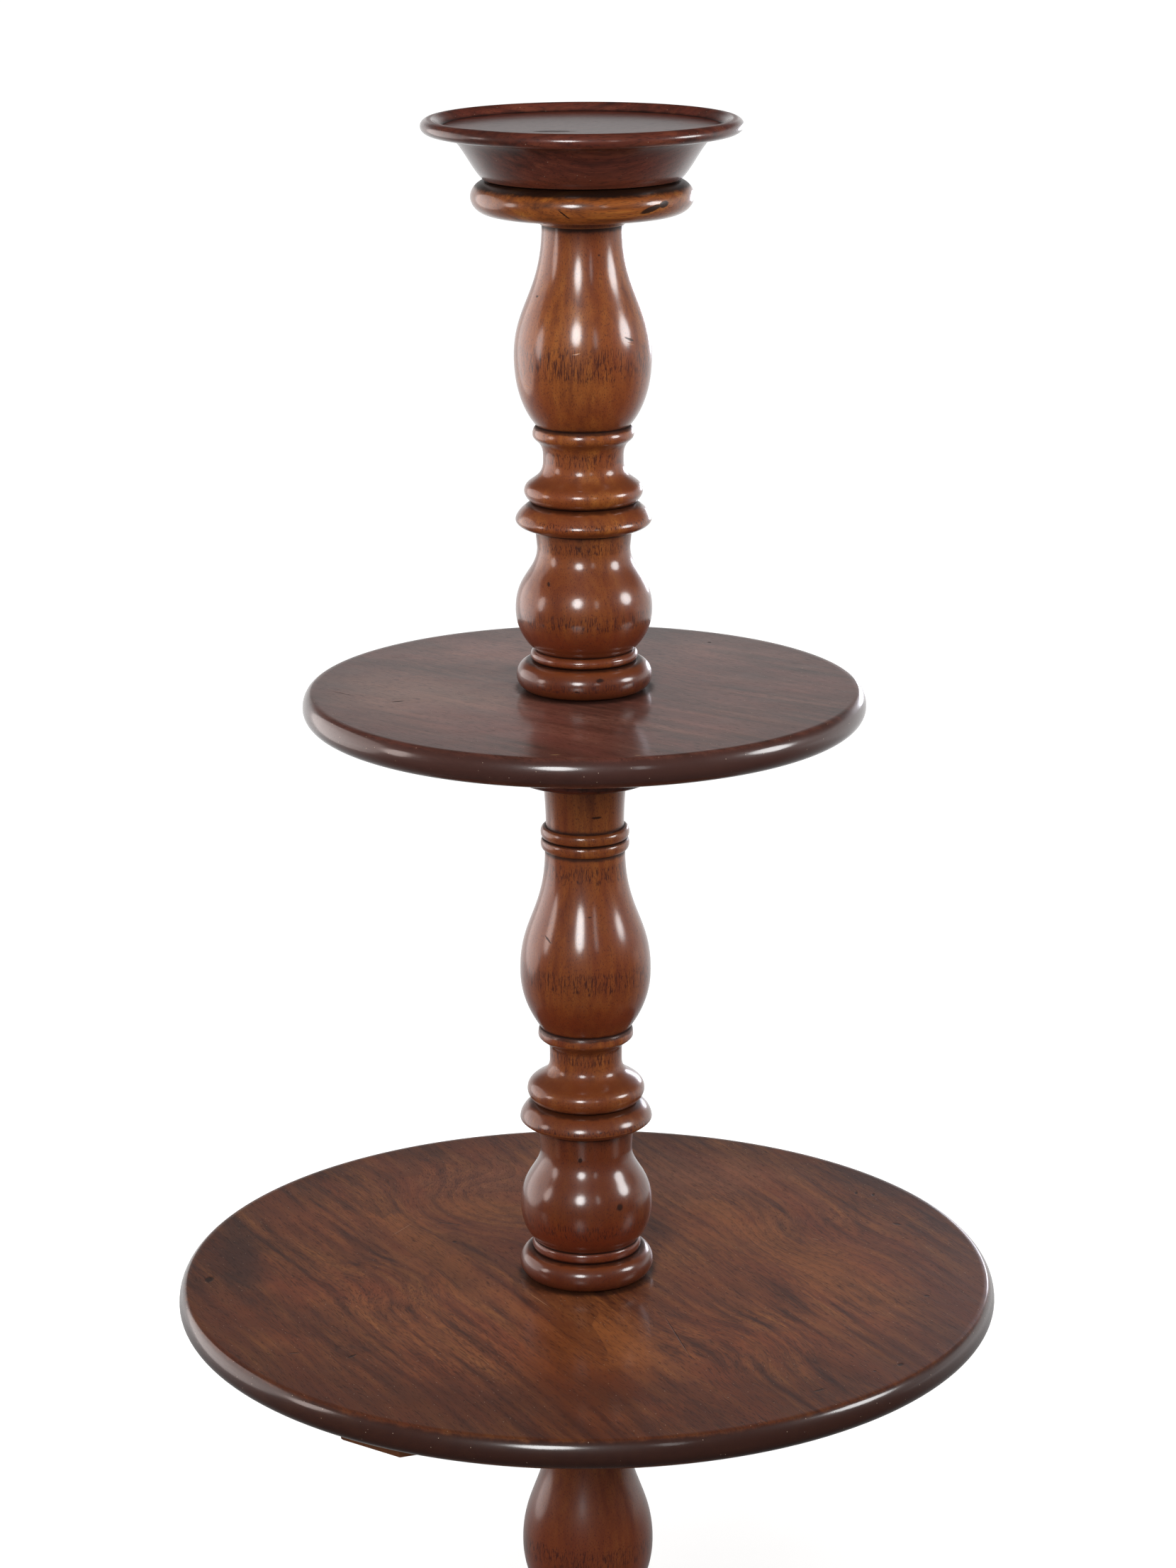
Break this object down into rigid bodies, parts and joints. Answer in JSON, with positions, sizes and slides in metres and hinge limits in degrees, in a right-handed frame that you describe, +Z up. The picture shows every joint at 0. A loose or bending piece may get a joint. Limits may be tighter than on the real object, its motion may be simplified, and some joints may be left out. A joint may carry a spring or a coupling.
{
  "type": "dumbwaiter table",
  "caption": "Round-tiered dumbwaiter: revolving tiers and a small dish graduate up a ring-and-vase turned column on a tripod with casters.",
  "frame": {"origin": "on the floor, on the column's axis, midway under the object", "axes": "+Z up along the column, -Y towards the picture's viewer, +X to the viewer's right"},
  "size_m": [0.61, 0.61, 1.4217],
  "materials": {
    "column_wood": "polished red-brown mahogany",
    "capital_wood": "polished golden-brown mahogany",
    "tier_wood": "worn dark polished mahogany",
    "brass": "dulled cast brass",
    "iron": "blackened wrought iron",
    "screw_steel": "aged steel"
  },
  "bodies": {
    "stand": {"pedestal_column": "column_wood", "middle_column": "column_wood", "upper_column": "column_wood", "capital_ring": "capital_wood", "leg_1": "column_wood", "leg_2": "column_wood", "leg_3": "column_wood", "spider_plate": "iron", "plate_screw_hub_1": "screw_steel", "plate_screw_hub_2": "screw_steel", "plate_screw_hub_3": "screw_steel", "plate_screw_leg_1": "screw_steel", "plate_screw_leg_2": "screw_steel", "plate_screw_leg_3": "screw_steel", "caster_cup_1": "brass", "caster_cup_2": "brass", "caster_cup_3": "brass"},
    "dish": {"dish": "tier_wood"},
    "middle_tier": {"middle_tier": "tier_wood", "middle_tier_boss": "tier_wood"},
    "lower_tier": {"lower_tier": "tier_wood", "lower_tier_boss": "tier_wood", "batten_front": "tier_wood", "batten_back": "tier_wood", "batten_screw_front_1": "screw_steel", "batten_screw_front_2": "screw_steel", "batten_screw_front_3": "screw_steel", "batten_screw_back_1": "screw_steel", "batten_screw_back_2": "screw_steel", "batten_screw_back_3": "screw_steel"},
    "caster_1": {"caster_horn_1": "brass", "caster_axle_1": "screw_steel"},
    "caster_2": {"caster_horn_2": "brass", "caster_axle_2": "screw_steel"},
    "caster_3": {"caster_horn_3": "brass", "caster_axle_3": "screw_steel"},
    "wheel_1": {"caster_wheel_1": "brass"},
    "wheel_2": {"caster_wheel_2": "brass"},
    "wheel_3": {"caster_wheel_3": "brass"}
  },
  "joints": [
    {"name": "dish_spin", "type": "hinge", "parent": "stand", "child": "dish", "pos_m": [0, 0, 1.3902], "axis": [0, 0, 1], "continuous": true},
    {"name": "middle_tier_spin", "type": "hinge", "parent": "stand", "child": "middle_tier", "pos_m": [0, 0, 1.003], "axis": [0, 0, 1], "continuous": true},
    {"name": "lower_tier_spin", "type": "hinge", "parent": "stand", "child": "lower_tier", "pos_m": [0, 0, 0.55], "axis": [0, 0, 1], "continuous": true},
    {"name": "caster_swivel_1", "type": "hinge", "parent": "stand", "child": "caster_1", "pos_m": [0, 0.252, 0.036], "axis": [0, 0, 1], "continuous": true},
    {"name": "caster_swivel_2", "type": "hinge", "parent": "stand", "child": "caster_2", "pos_m": [-0.21824, -0.126, 0.036], "axis": [0, 0, 1], "continuous": true},
    {"name": "caster_swivel_3", "type": "hinge", "parent": "stand", "child": "caster_3", "pos_m": [0.21824, -0.126, 0.036], "axis": [0, 0, 1], "continuous": true},
    {"name": "wheel_spin_1", "type": "hinge", "parent": "caster_1", "child": "wheel_1", "pos_m": [0, 0.264, 0.01471], "axis": [-1, 0, 0], "continuous": true},
    {"name": "wheel_spin_2", "type": "hinge", "parent": "caster_2", "child": "wheel_2", "pos_m": [-0.22863, -0.132, 0.01471], "axis": [0.5, -0.866, 0], "continuous": true},
    {"name": "wheel_spin_3", "type": "hinge", "parent": "caster_3", "child": "wheel_3", "pos_m": [0.22863, -0.132, 0.01471], "axis": [0.5, 0.866, 0], "continuous": true}
  ]
}
